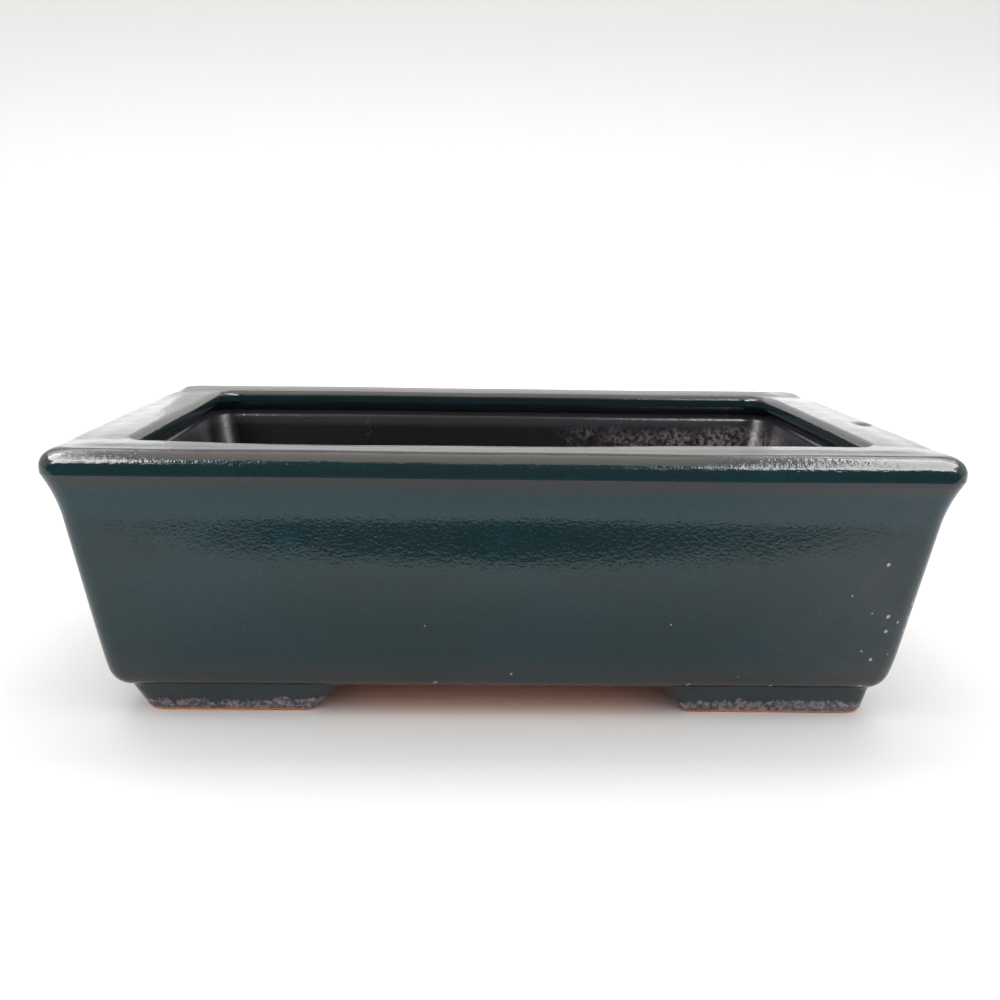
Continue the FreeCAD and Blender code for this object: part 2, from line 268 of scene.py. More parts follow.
def wall_section():
    """A wall: up its outer face, across the seam under the rim, down its inner face and back under it."""
    outside = wall_outside()
    inside = wall_inside()
    seat = [inside[0], (FLOOR_INSET, FOOT_HEIGHT, INNER_CORNER)]
    return [outside[::-1], [outside[0], inside[-1]], inside[::-1], seat, [seat[-1], outside[-1]]]


def coil_section():
    """The luting coil: a hollow face between the floor and the walls, and two flat faces against them."""
    leg = COIL_TOP - FLOOR_TOP
    corner = (FLOOR_INSET, FLOOR_TOP, INNER_CORNER)
    floor_end = (FLOOR_INSET + leg, FLOOR_TOP, INNER_CORNER)
    face = [floor_end]
    for a in turn(0, 90, 10)[1:]:
        inset = FLOOR_INSET + leg * (1 - math.sin(a)) + (inner_line(COIL_TOP) - FLOOR_INSET) * math.sin(a)
        face.append((inset, FLOOR_TOP + leg * (1 - math.cos(a)), INNER_CORNER))
    return [[corner, face[-1]], face[::-1], [floor_end, corner]]


# ---------------------------------------------------------------------------------------------------
# Unevenness
# ---------------------------------------------------------------------------------------------------
def share_of(value, start, end):
    """0 at start and 1 at end, in a straight line between them and level beyond."""
    return np.clip((value - start) / (end - start), 0, 1)


def belly(level, place):
    """How far the wall bulges out: most in the middle of its length and a little below half its height."""
    below, above = BELLY_REACH
    reach = above if level > BELLY_LEVEL else below
    swing = min(1.0, abs(level - BELLY_LEVEL) / reach)
    return BELLY * 0.5 * (1 + math.cos(math.pi * swing)) * (1 - place * place) ** BELLY_FALL


def waver(points):
    """The slow unevenness of hand work, a few tenths of a millimetre, the same wherever two pieces meet."""
    x, y, z = points[..., 0], points[..., 1], points[..., 2]
    out = points.copy()
    rise = share_of(z, FOOT_HEIGHT, HEIGHT)
    slow_x, slow_y = np.sin(y / 13.0 + 0.8), np.sin(x / 15.0 + 2.1)
    quick_x, quick_y = np.sin(y / 6.1 + z / 9.0), np.sin(x / 6.7 - z / 8.0)
    out[..., 0] += rise * (SLOW_WAVE * slow_x + QUICK_WAVE * quick_x - DRAWN_IN * x / HALF_WIDTH)
    out[..., 1] += rise * (SLOW_WAVE * slow_y + QUICK_WAVE * quick_y - DRAWN_IN * y / HALF_DEPTH)
    slow_z, quick_z = np.sin(x / 19.0 + 0.4) * np.cos(y / 23.0), np.sin(x / 7.3 + y / 8.9)
    out[..., 2] += rise * (TOP_SLOW_WAVE * slow_z + TOP_QUICK_WAVE * quick_z - TOP_DRAWN_DOWN)
    low = share_of(z, 12, 5) ** 2 * share_of(HALF_WIDTH - np.abs(x), 14, 9)
    out[..., 0] -= low * (RIGHT_PULL * share_of(x, 40, 60) - LEFT_PULL * share_of(x, -40, -60))
    return out


def settle(points):
    """The rim's strips sag as they dry: the back one leans in, and the front one dips along its length and is
    wider towards its ends. The right one has the pit."""
    x, y, z = points[..., 0], points[..., 1], points[..., 2]
    out = points.copy()
    inward = HALF_DEPTH - np.abs(y)
    on_top = share_of(z, FACE_FOOT, HEIGHT)
    fade = 1 - share_of(inward, RIM_WIDTH, RIM_WIDTH + SAG_REACH)
    weight = on_top * share_of(inward, LIP_RADIUS, RIM_WIDTH) * fade * fade
    dips = FRONT_SAG
    for middle, reach, depth in FRONT_DIPS:
        dips = dips + depth * np.exp(-(((x - middle) / reach) ** 2))
    ends = share_of(x, 8, 28) + share_of(x, -46, -58)
    out[..., 2] -= weight * np.where(y < 0, dips, BACK_SAG)
    out[..., 1] += weight * np.where(y < 0, FRONT_WIDENING * ends, 0.0)
    from_pit = ((x - PIT[0]) / PIT_REACH[0]) ** 2 + ((y - PIT[1]) / PIT_REACH[1]) ** 2
    out[..., 2] -= PIT_DEPTH * on_top * np.exp(-from_pit)
    return out


# ---------------------------------------------------------------------------------------------------
# Rings: a section carried round the pot's outline, cut at the mitres into one piece for each side
# ---------------------------------------------------------------------------------------------------
def side_columns(steps):
    """Where the columns of one side stand: (corner turn in radians, place along the straight stretch)."""
    arc = np.radians(np.linspace(45, 0, ARC_STEPS + 1))
    left = [(-angle, -1.0) for angle in arc[:-1]]
    middle = [(0.0, place) for place in np.linspace(-1, 1, steps + 1)]
    right = [(angle, 1.0) for angle in arc[::-1][1:]]
    return left + middle + right


def column_points(rows, column, half_long, half_deep, bulge):
    """One column of points of a side that faces -Y. Only a wall's outer rows bulge."""
    angle, place = column
    points = []
    for inset, level, radius in rows:
        bulges = bulge and angle == 0 and inset < inner_line(level) - 1
        out = belly(level, place) if bulges else 0.0
        x = place * (half_long - inset - radius) + radius * math.sin(angle)
        y = -(half_deep - inset - radius) - radius * math.cos(angle) - out
        points.append((x, y, level))
    return points


def ring_grid(section, bulge):
    """Points of a whole ring in millimetres, as an array over (row, column), and the columns of each side.
    Rows run through the section, each run in full, and columns run round the outline from the left mitre
    of the front."""
    rows = [row for run in section for row in run]
    grid, spans, start = [], {}, 0
    for side, quarter_turns in SIDES.items():
        long_side = quarter_turns % 2 == 0
        half_long, half_deep = (HALF_WIDTH, HALF_DEPTH) if long_side else (HALF_DEPTH, HALF_WIDTH)
        columns = side_columns(LONG_SIDE_STEPS if long_side else SHORT_SIDE_STEPS)
        cos_q = round(math.cos(quarter_turns * math.pi / 2))
        sin_q = round(math.sin(quarter_turns * math.pi / 2))
        for column in columns:
            points = column_points(rows, column, half_long, half_deep, bulge)
            grid.append([(cos_q * x - sin_q * y, sin_q * x + cos_q * y, z) for x, y, z in points])
        spans[side] = (start, start + len(columns))
        start += len(columns)
    return waver(settle(np.array(grid).transpose(1, 0, 2))), spans


def ring_normals(grid, section):
    """Outward normals of the whole ring, smooth round the outline and along each run. Two sides have the
    column at their mitre in common, so a neighbour in the same place gives way to the one beyond it."""
    column_next = np.roll(grid, -1, axis=1)
    column_last = np.roll(grid, 1, axis=1)
    same = np.linalg.norm(column_next - grid, axis=2) < SAME_PLACE
    column_next[same] = np.roll(grid, -2, axis=1)[same]
    same = np.linalg.norm(column_last - grid, axis=2) < SAME_PLACE
    column_last[same] = np.roll(grid, 2, axis=1)[same]
    along = np.zeros_like(grid)
    first = 0
    for run in section:
        last = first + len(run)
        along[first:last] = np.gradient(grid[first:last], axis=0)
        first = last
    normals = np.cross(column_next - column_last, along)
    return normals / np.maximum(np.linalg.norm(normals, axis=2, keepdims=True), 1e-12)


def mesh_object(name, vertices, faces, loop_normals):
    """A mesh piece from millimetres, with its own shading normals, or None for those it works out itself."""
    mesh = bpy.data.meshes.new(name)
    mesh.from_pydata([tuple(vertex) for vertex in np.asarray(vertices) * MM], [], faces)
    mesh.validate()
    for polygon in mesh.polygons:
        polygon.use_smooth = True
    if loop_normals is not None:
        mesh.normals_split_custom_set(loop_normals)
    piece = bpy.data.objects.new(name, mesh)
    bpy.context.scene.collection.objects.link(piece)
    return piece


def ring_rows(section):
    """For each row of the ring, which vertex row it uses, and how many vertex rows there are. The end of a
    run and the start of the next share one, and so do the ring's last row and its first."""
    owner, count = [], 0
    for n, run in enumerate(section):
        first = count - 1 if n else 0
        owner += range(first, first + len(run))
        count = first + len(run)
    owner[-1] = 0
    return owner, count - 1


def ring_vertices(grid, owner, row_count):
    """Vertices over (column, vertex row) from points over (row, column)."""
    vertices = np.zeros((grid.shape[1], row_count, 3))
    for row, vertex_row in enumerate(owner):
        vertices[:, vertex_row] = grid[row]
    return vertices


def ring_faces(section, owner, row_count, steps, normals):
    """The faces along each run and the normals of their corners. steps pairs each column with the next."""
    faces, loop_normals, first = [], [], 0
    for run in section:
        for row in range(first, first + len(run) - 1):
            for column, right in steps:
                corners = ((row, column), (row, right), (row + 1, right), (row + 1, column))
                faces.append([c * row_count + owner[r] for r, c in corners])
                loop_normals += [tuple(normals[r, c]) for r, c in corners]
        first += len(run)
    return faces, loop_normals


def side_piece(name, grid, normals, section):
    """One side of a ring as a closed piece: the faces of the section and a flat cap at each mitre."""
    owner, row_count = ring_rows(section)
    vertices = ring_vertices(grid, owner, row_count)
    last = len(vertices) - 1
    steps = [(column, column + 1) for column in range(last)]
    faces, loop_normals = ring_faces(section, owner, row_count, steps, normals)
    for column, order in ((0, 1), (last, -1)):
        faces.append([column * row_count + n for n in range(row_count)][::order])
        points = vertices[column][::order]
        normal = np.sum(np.cross(points, np.roll(points, -1, axis=0)), axis=0)
        loop_normals += [tuple(normal / np.linalg.norm(normal))] * row_count
    return mesh_object(name, vertices.reshape(-1, 3), faces, loop_normals)


def whole_ring(name, grid, normals, section):
    """A ring in one piece, closed round the outline. A column that two sides have in common is kept once."""
    keep = [n for n in range(grid.shape[1]) if np.linalg.norm(grid[0, n] - grid[0, n - 1]) > SAME_PLACE]
    owner, row_count = ring_rows(section)
    vertices = ring_vertices(grid[:, keep], owner, row_count)
    steps = [(column, (column + 1) % len(keep)) for column in range(len(keep))]
    faces, loop_normals = ring_faces(section, owner, row_count, steps, normals[:, keep])
    return mesh_object(name, vertices.reshape(-1, 3), faces, loop_normals)


def finish_piece(piece, node, material):
    """Gives a piece its material, and puts it in the place of its CAD node."""
    piece.data.materials.append(material)
    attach(piece, "root")
    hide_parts(node)


def make_sides(stem, section, bulge, material):
    """The four pieces of a ring, one for each side of the pot."""
    grid, spans = ring_grid(section, bulge)
    normals = ring_normals(grid, section)
    for side, (start, end) in spans.items():
        piece = side_piece(f"{stem}_{side}_glazed", grid[:, start:end], normals[:, start:end], section)
        finish_piece(piece, f"{stem}_{side}", material)


def make_coil(material):
    """The luting coil, smoothed into the inner seam with a finger."""
    section = coil_section()
    grid, _ = ring_grid(section, False)
    piece = whole_ring("luting_coil_smoothed", grid, ring_normals(grid, section), section)
    finish_piece(piece, "luting_coil", material)


# ---------------------------------------------------------------------------------------------------
# Feet
# ---------------------------------------------------------------------------------------------------
def foot_rows():
    """(level, draft, fall) from the top of a foot to its sole. Draft is how far its faces have leaned in by
    that level, and fall is how far its outer end's lean has run."""
    rows = [(FOOT_HEIGHT - depth, -flare, 0.0) for depth, flare in FOOT_FLARE]
    top = rows[-1][0]
    for level in np.linspace(top, FOOT_EDGE, 7)[1:]:
        rows.append((level, (top - level) * math.tan(FOOT_DRAFT), top - level))
    _, draft, fall = rows[-1]
    for a in turn(0, 90, 8)[1:]:
        level = FOOT_EDGE * (1 - math.sin(a))
        rolled = 1 - math.cos(a)
        rows.append((level, draft + FOOT_EDGE * rolled, fall + FOOT_END_ROLL * rolled))
    return rows


def rounded_corner(before, corner, after, radius, steps):
    """Points of an arc that rounds one corner of an outline whose sides run along X and Y."""
    corner, before, after = (np.array(p, float) for p in (corner, before, after))
    inward = (before - corner) / np.linalg.norm(before - corner)
    outward = (after - corner) / np.linalg.norm(after - corner)
    centre = corner + (inward + outward) * radius
    angles = np.linspace(0, math.pi / 2, steps)
    return [centre - radius * (outward * math.cos(a) + inward * math.sin(a)) for a in angles]


def foot_outline(draft, fall, shape):
    """The L of a foot at one level, as seen at the front left corner mirrored to positive X and Y."""
    end_inset, length, end_lean = shape
    outer_x = HALF_WIDTH - end_inset - draft - fall * end_lean
    outer_y = HALF_DEPTH - FOOT_INSET - draft
    inner_x = HALF_WIDTH - FOOT_INSET - FOOT_BREADTH + draft
    inner_y = HALF_DEPTH - FOOT_INSET - FOOT_BREADTH + draft
    end_x = HALF_WIDTH - end_inset - length + draft + FOOT_ARM_LEAN * fall
    end_y = HALF_DEPTH - FOOT_INSET - FOOT_LENGTH_Y + draft + FOOT_ARM_LEAN * fall
    corners = [
        ((outer_x, outer_y), FOOT_OUTER_ROUND),
        ((end_x, outer_y), FOOT_END_ROUND),
        ((end_x, inner_y), FOOT_END_ROUND),
        ((inner_x, inner_y), FOOT_INNER_ROUND),
        ((inner_x, end_y), FOOT_END_ROUND),
        ((outer_x, end_y), FOOT_END_ROUND),
    ]
    arcs = []
    for n, (corner, radius) in enumerate(corners):
        before, after = corners[n - 1][0], corners[(n + 1) % len(corners)][0]
        arcs.append(rounded_corner(before, corner, after, radius, 7))
    outline = []
    for n, arc in enumerate(arcs):
        start, end = arc[-1], arcs[(n + 1) % len(arcs)][0]
        outline += arc + [start + (end - start) * share for share in np.linspace(0, 1, 6)[1:-1]]
    return outline


def waver_foot(points):
    """A foot cut by hand: its faces waver a little, and its top and sole stay level."""
    out = points.copy()
    x, y, z = points[..., 0], points[..., 1], points[..., 2]
    fade = np.sin(np.clip(z / FOOT_HEIGHT, 0, 1) * math.pi) ** 0.5
    out[..., 0] += FOOT_WAVE * fade * np.sin(y / 4.3 + z / 2.0 + 0.5 * x)
    out[..., 1] += FOOT_WAVE * fade * np.sin(x / 5.1 - z / 2.4 + 0.4 * y)
    return out


def make_foot(corner, signs, material):
    """One L-shaped foot, its top against the floor slab and its sole on the ground."""
    rows = [
        [(signs[0] * x, signs[1] * y, level) for x, y in foot_outline(draft, fall, FEET[corner])]
        for level, draft, fall in foot_rows()
    ]
    vertices = waver_foot(np.array(rows, float))
    count = vertices.shape[1]
    flip = signs[0] * signs[1] < 0
    faces = []
    for row in range(len(rows) - 1):
        for n in range(count):
            m = (n + 1) % count
            face = [row * count + n, row * count + m, (row + 1) * count + m, (row + 1) * count + n]
            faces.append(face if flip else face[::-1])
    top = list(range(count))
    sole = [(len(rows) - 1) * count + n for n in range(count)]
    faces.append(top[::-1] if flip else top)
    faces.append(sole if flip else sole[::-1])
    piece = mesh_object(f"foot_{corner}_glazed", vertices.reshape(-1, 3), faces, None)
    for polygon in piece.data.polygons[-2:]:
        polygon.use_smooth = False
    finish_piece(piece, f"foot_{corner}", material)


# ---------------------------------------------------------------------------------------------------
# Materials
# ---------------------------------------------------------------------------------------------------
class Nodes:
    """A material's nodes, added and linked one at a time. Lengths are in millimetres on the object."""

    def __init__(self, name):
        self.material = bpy.data.materials.new(name)
        self.material.use_nodes = True
        self.tree = self.material.node_tree
        self.tree.nodes.clear()
        coordinates = self.add("ShaderNodeTexCoord").outputs["Object"]
        scaled = self.add("ShaderNodeVectorMath", operation="SCALE")
        self.tree.links.new(coordinates, scaled.inputs[0])
        scaled.inputs["Scale"].default_value = 1 / MM
        self.place = scaled.outputs[0]
        split = self.add("ShaderNodeSeparateXYZ")
        self.tree.links.new(self.place, split.inputs[0])
        self.x, self.y, self.z = split.outputs

    def add(self, kind, **settings):
        """A new node of a kind, with its settings."""
        node = self.tree.nodes.new(kind)
        for key, value in settings.items():
            setattr(node, key, value)
        return node

    def feed(self, socket, value):
        """Links a socket to value, or sets it where value is a number."""
        if isinstance(value, bpy.types.NodeSocket):
            self.tree.links.new(value, socket)
        else:
            socket.default_value = value

    def math(self, operation, a, b=0.0):
        """The result of a Math node."""
        node = self.add("ShaderNodeMath", operation=operation)
        self.feed(node.inputs[0], a)
        self.feed(node.inputs[1], b)
        return node.outputs[0]

    def product(self, *factors):
        """Several values multiplied together."""
        result = factors[0]
        for factor in factors[1:]:
            result = self.math("MULTIPLY", result, factor)
        return result

    def clamped(self, value):
        """A value kept between 0 and 1."""
        node = self.add("ShaderNodeClamp")
        self.feed(node.inputs["Value"], value)
        return node.outputs[0]

    def noise(self, size, detail=2.0, roughness=0.5, stretch=None):
        """Noise whose features are about size millimetres across, from 0 to 1."""
        node = self.add("ShaderNodeTexNoise")
        place = self.place
        if stretch:
            mapping = self.add("ShaderNodeMapping")
            self.feed(mapping.inputs["Vector"], self.place)
            mapping.inputs["Scale"].default_value = stretch
            place = mapping.outputs[0]
        self.feed(node.inputs["Vector"], place)
        self.feed(node.inputs["Scale"], 1 / size)
        self.feed(node.inputs["Detail"], detail)
        self.feed(node.inputs["Roughness"], roughness)
        return node.outputs["Fac"]

    def ragged(self, size, reach, detail, roughness=0.5):
        """Noise about 0 that makes an edge ragged, over reach millimetres in all."""
        return self.product(self.math("SUBTRACT", self.noise(size, detail, roughness), 0.5), reach)

    def ramp(self, value, low, high, start=0.0, end=1.0):
        """A smooth step from start, where value is low, to end, where it is high."""
        node = self.add("ShaderNodeMapRange", interpolation_type="SMOOTHSTEP")
        self.feed(node.inputs["Value"], value)
        self.feed(node.inputs["From Min"], low)
        self.feed(node.inputs["From Max"], high)
        self.feed(node.inputs["To Min"], start)
        self.feed(node.inputs["To Max"], end)
        return node.outputs["Result"]

    def mix(self, factor, first, second):
        """A colour from first, at factor 0, to second, at factor 1."""
        node = self.add("ShaderNodeMix", data_type="RGBA")
        self.feed(node.inputs[0], factor)
        self.feed(node.inputs[6], first if isinstance(first, bpy.types.NodeSocket) else (*first, 1))
        self.feed(node.inputs[7], second if isinstance(second, bpy.types.NodeSocket) else (*second, 1))
        return node.outputs[2]

    def bump(self, height, distance, normal=None):
        """Bump whose height of 1 stands for distance millimetres."""
        node = self.add("ShaderNodeBump")
        self.feed(node.inputs["Height"], height)
        node.inputs["Distance"].default_value = distance * MM
        node.inputs["Strength"].default_value = 1.0
        if normal is not None:
            self.feed(node.inputs["Normal"], normal)
        return node.outputs[0]

    def surface(self, colour, roughness, normal, ior):
        """The finished material."""
        shader = self.add("ShaderNodeBsdfPrincipled")
        self.feed(shader.inputs["Base Color"], colour)
        self.feed(shader.inputs["Roughness"], roughness)
        self.feed(shader.inputs["Normal"], normal)
        shader.inputs["IOR"].default_value = ior
        output = self.add("ShaderNodeOutputMaterial")
        self.tree.links.new(shader.outputs[0], output.inputs["Surface"])
        return self.material


TEAL_DEEP = (0.0105, 0.0255, 0.0285)
TEAL_BLUE = (0.0075, 0.0390, 0.0520)
# Painted reflection: a brown that stands in for the glaze mirroring the shaded floor and the brown ceiling.
PAINTED_BROWN_REFLECTION = (0.040, 0.034, 0.036)
THIN_MAUVE = (0.085, 0.070, 0.078)
THIN_GREY = (0.036, 0.029, 0.031)
FOOT_MAUVE = (0.23, 0.185, 0.210)
WASH_DARK = (0.0090, 0.0092, 0.0110)
WASH_MAUVE = (0.250, 0.190, 0.225)
# Painted light for the recess under the rim, which lies in shade.
PAINTED_RECESS_LIGHT = (0.050, 0.050, 0.060)
CLAY = (0.76, 0.26, 0.10)
CLAY_DARK = (0.50, 0.17, 0.07)
SPECK = (0.34, 0.32, 0.33)

GLAZE_IOR = 1.45
CLAY_ROUGHNESS = 0.85
SPECK_CELL = 2.4


def distance_from(nodes, coordinate, place):
    """How far a point is from a place, along one coordinate."""
    return nodes.math("ABSOLUTE", nodes.math("SUBTRACT", coordinate, place))


def side_insets(nodes):
    """How far a point is in from the lip's furthest edge, along X and along Y."""
    from_side = nodes.math("SUBTRACT", HALF_WIDTH, nodes.math("ABSOLUTE", nodes.x))
    from_front = nodes.math("SUBTRACT", HALF_DEPTH, nodes.math("ABSOLUTE", nodes.y))
    return from_side, from_front


def wall_inset_node(nodes):
    """Inset of the wall's straight outer face at a point's level."""
    rise = nodes.math("SUBTRACT", WALL_LEVEL, nodes.z)
    return nodes.math("ADD", nodes.product(rise, math.tan(WALL_LEAN)), WALL_INSET)


def peel(nodes, strength=1.0):
    """The glaze's orange peel: a fine ripple on a slow swell."""
    swell = nodes.bump(nodes.noise(7.0, 1.0), 0.06 * strength)
    ripple = nodes.bump(nodes.noise(0.60, 0.0, stretch=(0.8, 0.8, 1.2)), 0.022 * strength, swell)
    return nodes.bump(nodes.noise(0.30, 1.0), 0.020 * strength, ripple)


def teal_colour(nodes):
    """Deep teal that clouds slowly to a bluer teal, with a fine grain, and bluer still under the lip, where a
    reflection is painted.
    """
    cloud = nodes.ramp(nodes.noise(16, 3, 0.55), 0.42, 0.72, 0.0, 0.5)
    # Painted reflection: the hollow under the lip is turned bluer as if it mirrored the floor.
    below_lip = nodes.ramp(nodes.z, 33.0, 37.0, 0.0, 0.8)
    under_lip_reflection = nodes.product(below_lip, nodes.ramp(nodes.z, SEAM + 1.5, SEAM + 0.5))
    grain = nodes.ramp(nodes.noise(0.4, 3, 0.7), 0.35, 0.70, -0.4, 0.5)
    amount = nodes.math("ADD", nodes.math("MAXIMUM", cloud, under_lip_reflection), grain)
    return nodes.mix(nodes.clamped(amount), TEAL_DEEP, TEAL_BLUE)


def clay_colour(nodes):
    """Fired terracotta with a fine dark and light grain."""
    grain = nodes.ramp(nodes.noise(0.7, 4, 0.7), 0.3, 0.7)
    return nodes.mix(grain, CLAY_DARK, CLAY)


def wash_colour(nodes):
    """The thin wash inside: near black, with mauve blotches that gather at the back right, and painted light
    that lifts the shaded recess under the rim.
    """
    across, deep = nodes.ramp(nodes.x, 4, 44), nodes.ramp(nodes.y, 20, 40)
    gathered = nodes.product(across, deep, nodes.ramp(nodes.z, 39.5, 36.5))
    drift = nodes.math("ADD", gathered, nodes.ramp(nodes.noise(9, 3, 0.6), 0.3, 0.7, -0.45, 0.30))
    corner = nodes.product(nodes.clamped(drift), nodes.ramp(gathered, 0.0, 0.25))
    patch = nodes.ramp(nodes.noise(7, 3, 0.6), 0.60, 0.72, 0.0, 0.5)
    mottle = nodes.ramp(nodes.noise(1.1, 3, 0.65), 0.38, 0.66)
    # Painted light: the wash turns lighter towards the rim, in the recess that lies in shade under it.
    washed = nodes.mix(nodes.ramp(nodes.z, 37.5, 39.5), WASH_DARK, PAINTED_RECESS_LIGHT)
    return nodes.mix(nodes.product(nodes.math("MAXIMUM", patch, corner), mottle), washed, WASH_MAUVE)


def bare_below(nodes, height, ragged, share):
    """1 below a height, where the clay is bare, and 0 above it. A share of ragged unsettles the line."""
    level = nodes.math("ADD", nodes.z, nodes.product(ragged, share))
    return nodes.ramp(level, height + 0.2, height)


def specks(nodes):
    """White pinholes, most under half a millimetre, thickest low down near the front right corner."""
    flat = nodes.add("ShaderNodeCombineXYZ")
    nodes.feed(flat.inputs[0], nodes.math("ADD", nodes.x, nodes.y))
    nodes.feed(flat.inputs[1], nodes.z)
    cells = nodes.add("ShaderNodeTexVoronoi", voronoi_dimensions="2D")
    nodes.feed(cells.inputs["Vector"], flat.outputs[0])
    nodes.feed(cells.inputs["Scale"], 1 / SPECK_CELL)
    pick = nodes.add("ShaderNodeSeparateColor")
    nodes.feed(pick.inputs[0], cells.outputs["Color"])
    radius = nodes.ramp(pick.outputs[1], 0.0, 1.0, 0.03, 0.12)
    dot = nodes.ramp(nodes.math("SUBTRACT", cells.outputs["Distance"], radius), 0.05, -0.02)
    near_corner = nodes.ramp(nodes.x, HALF_WIDTH - 21, HALF_WIDTH - 11)
    low_down = nodes.ramp(nodes.z, 34.0, 12.0)
    share = nodes.product(near_corner, low_down, 0.50)
    share = nodes.math("ADD", share, nodes.ramp(nodes.z, 9.5, 6.5, 0.0, 0.12))
    share = nodes.math("ADD", share, nodes.product(low_down, 0.006))
    return nodes.product(dot, nodes.math("LESS_THAN", pick.outputs[0], share))


def outer_wall_colour(nodes, ragged):
    """The wall's glaze: teal, browner and darker at the bottom edge where a reflection of the shaded floor is
    painted, grey under the lip, mauve to the right.
    """
    level = nodes.math("ADD", nodes.z, ragged)
    # Painted reflection: the bottom edge is browned and darkened as if it mirrored the shaded floor and its
    # orange bounce.
    low = nodes.ramp(level, FOOT_HEIGHT + 7.5, FOOT_HEIGHT + 1.0, 0.0, 0.6)
    colour = nodes.mix(low, teal_colour(nodes), PAINTED_BROWN_REFLECTION)
    under_lip = nodes.ramp(level, SEAM - 2.2, SEAM - 0.7, 0.0, 0.65)
    colour = nodes.mix(under_lip, colour, THIN_GREY)
    clouds = nodes.ramp(nodes.noise(9, 3), 0.3, 0.7, 0.08, 0.26)
    right_end = nodes.product(nodes.ramp(nodes.x, 28.0, 70.0), clouds)
    colour = nodes.mix(right_end, colour, THIN_MAUVE)
    return nodes.mix(specks(nodes), colour, SPECK)


def wall_glaze():
    """Glaze outside, a dark wash inside, matt where it gathered in the corners, and bare clay beneath."""
    nodes = Nodes("wall_glaze")
    ragged = nodes.ragged(1.6, 1.6, 4, 0.65)
    from_side, from_front = side_insets(nodes)
    face = wall_inset_node(nodes)
    inside = nodes.ramp(nodes.math("SUBTRACT", nodes.math("MINIMUM", from_side, from_front), face), 5.0, 6.5)
    bare = bare_below(nodes, FOOT_HEIGHT + 0.05, ragged, 0.25)
    colour = nodes.mix(inside, outer_wall_colour(nodes, ragged), wash_colour(nodes))
    colour = nodes.mix(bare, colour, clay_colour(nodes))
    near_side = nodes.ramp(nodes.math("SUBTRACT", from_side, face), 14.0, 11.0)
    near_front = nodes.ramp(nodes.math("SUBTRACT", from_front, face), 14.0, 11.0)
    matt = nodes.ramp(nodes.product(near_side, near_front), 0.0, 1.0, 0.16, 0.38)
    roughness = nodes.ramp(nodes.noise(3, 2), 0.3, 0.7, 0.05, 0.09)
    roughness = nodes.math("MAXIMUM", roughness, nodes.product(inside, matt))
    roughness = nodes.math("MAXIMUM", roughness, nodes.product(bare, CLAY_ROUGHNESS))
    return nodes.surface(colour, roughness, peel(nodes), GLAZE_IOR)


def rim_glaze():
    """Teal, thin along the lip's lower edge and painted brown on top as a reflection of the ceiling, but
    pools dark in the right strip's pit.
    """
    nodes = Nodes("rim_glaze")
    level = nodes.math("ADD", nodes.z, nodes.ragged(1.3, 0.9, 4, 0.65))
    under = nodes.ramp(level, CREASE + 0.25, CREASE - 0.1, 0.0, 0.65)
    colour = nodes.mix(under, teal_colour(nodes), THIN_GREY)
    # Painted reflection: the lip's upper nose and the top are browned as if they mirrored the brown ceiling.
    top = nodes.ramp(nodes.z, EQUATOR + 1.0, EQUATOR + 2.2, 0.0, 0.75)
    across_pit = nodes.ramp(distance_from(nodes, nodes.x, PIT[0]), 1.0, 2.2)
    along_pit = nodes.ramp(distance_from(nodes, nodes.y, PIT[1]), 1.6, 3.2)
    colour = nodes.mix(nodes.product(top, nodes.math("MAXIMUM", across_pit, along_pit)), colour, PAINTED_BROWN_REFLECTION)
    roughness = nodes.ramp(nodes.noise(3, 2), 0.3, 0.7, 0.06, 0.12)
    return nodes.surface(colour, roughness, brushed(nodes, peel(nodes)), GLAZE_IOR)


def brushed(nodes, normal):
    """Faint streaks drawn out along each strip of the rim, on top of another bump."""
    across = nodes.math("SUBTRACT", nodes.math("ABSOLUTE", nodes.y), nodes.math("ABSOLUTE", nodes.x))
    mitre = HALF_DEPTH - HALF_WIDTH + LIP_CORNER
    long_side = nodes.ramp(across, mitre - 6, mitre)
    along_x = nodes.product(nodes.noise(0.45, 1, stretch=(0.10, 1, 1)), long_side)
    short_side = nodes.math("SUBTRACT", 1.0, long_side)
    along_y = nodes.product(nodes.noise(0.45, 1, stretch=(1, 0.10, 1)), short_side)
    return nodes.bump(nodes.math("ADD", along_x, along_y), 0.028, normal)


def foot_glaze():
    """Teal with a share of painted brown reflection above, a ragged mauve band where the glaze runs thin, and
    bare clay at the sole.
    """
    nodes = Nodes("foot_glaze")
    ragged = nodes.ragged(1.1, 3.2, 5, 0.75)
    level = nodes.math("ADD", nodes.z, nodes.math("ADD", ragged, nodes.ragged(6.0, 2.4, 1)))
    thin = nodes.ramp(level, 2.3, 1.9)
    mottle = nodes.ramp(nodes.noise(0.9, 4, 0.75), 0.40, 0.62, 0.05, 1.0)
    bare = bare_below(nodes, 0.35, ragged, 0.12)
    # Painted reflection: a share of the brown that stands in for the shaded floor's reflection is mixed into
    # the feet's teal.
    colour = nodes.mix(0.35, teal_colour(nodes), PAINTED_BROWN_REFLECTION)
    colour = nodes.mix(nodes.product(thin, mottle), colour, FOOT_MAUVE)
    colour = nodes.mix(bare, colour, clay_colour(nodes))
    roughness = nodes.math("MAXIMUM", nodes.product(thin, 0.35), 0.13)
    roughness = nodes.math("MAXIMUM", roughness, nodes.product(bare, CLAY_ROUGHNESS))
    return nodes.surface(colour, roughness, peel(nodes, 0.8), 1.5)


def inner_wash():
    """The wash on the luting coil, duller than on the walls."""
    nodes = Nodes("inner_wash")
    roughness = nodes.ramp(nodes.noise(2.5, 2), 0.3, 0.7, 0.28, 0.42)
    return nodes.surface(wash_colour(nodes), roughness, peel(nodes, 0.7), 1.4)


